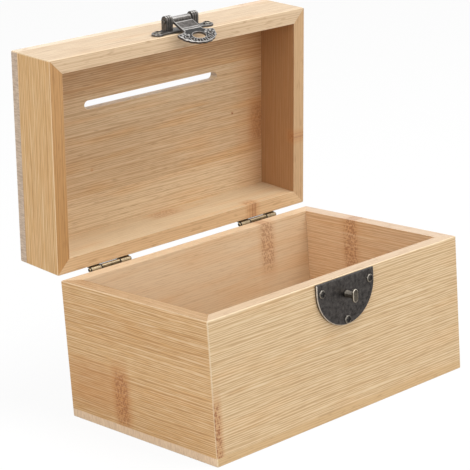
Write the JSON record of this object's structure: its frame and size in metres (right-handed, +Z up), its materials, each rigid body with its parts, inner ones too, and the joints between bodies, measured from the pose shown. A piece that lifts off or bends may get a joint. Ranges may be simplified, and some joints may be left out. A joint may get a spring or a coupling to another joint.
{
  "type": "hinged chest",
  "caption": "Small bamboo keepsake chest with mitred walls, a slotted lid on two butt hinges, and a pierced hasp that drops over a turn knob.",
  "frame": {"origin": "middle of the underside of the base board", "axes": "+X along the front to the right, +Y from the front to the hinges, +Z up"},
  "size_m": [0.2, 0.1751, 0.2241],
  "materials": {
    "bamboo": "clear satin lacquer",
    "panel_bamboo": "clear satin lacquer",
    "hinge_brass": "antiqued, worn bright on the knuckles",
    "hasp_metal": "dark antiqued, worn bright on the edges",
    "screw_steel": "antiqued"
  },
  "bodies": {
    "box": {"base_board": "bamboo", "box_front_wall": "bamboo", "box_back_wall": "bamboo", "box_left_wall": "bamboo", "box_right_wall": "bamboo", "catch_plate": "hasp_metal", "catch_screw_left": "screw_steel", "catch_screw_right": "screw_steel", "catch_screw_foot": "screw_steel", "left_hinge_box_leaf": "hinge_brass", "left_hinge_pin": "hinge_brass", "left_hinge_box_screw_1": "screw_steel", "left_hinge_box_screw_2": "screw_steel", "right_hinge_box_leaf": "hinge_brass", "right_hinge_pin": "hinge_brass", "right_hinge_box_screw_1": "screw_steel", "right_hinge_box_screw_2": "screw_steel"},
    "lid": {"lid_panel": "panel_bamboo", "lid_front_wall": "bamboo", "lid_back_wall": "bamboo", "lid_left_wall": "bamboo", "lid_right_wall": "bamboo", "hasp_bracket": "hasp_metal", "hasp_screw_left": "screw_steel", "hasp_screw_right": "screw_steel", "hasp_pin": "hasp_metal", "left_hinge_lid_leaf": "hinge_brass", "left_hinge_lid_screw_1": "screw_steel", "left_hinge_lid_screw_2": "screw_steel", "right_hinge_lid_leaf": "hinge_brass", "right_hinge_lid_screw_1": "screw_steel", "right_hinge_lid_screw_2": "screw_steel"},
    "hasp": {"hasp_flap": "hasp_metal"},
    "knob": {"turn_knob": "hasp_metal"}
  },
  "joints": [
    {"name": "lid_hinge", "type": "hinge", "parent": "box", "child": "lid", "pos_m": [0, 0.06605, 0.0837], "axis": [1, 0, 0], "range_deg": [0, 85]},
    {"name": "hasp_swing", "type": "hinge", "parent": "lid", "child": "hasp", "pos_m": [0.0034, 0.0616, 0.22058], "axis": [-1, 0, 0], "range_deg": [-15, 207]},
    {"name": "knob_turn", "type": "hinge", "parent": "box", "child": "knob", "pos_m": [0.0034, -0.064, 0.0727], "axis": [0, -1, 0], "continuous": true}
  ],
  "couplings": [
    {"joint": "hasp_swing", "follows": "lid_hinge", "ratio": 0.43529}
  ]
}
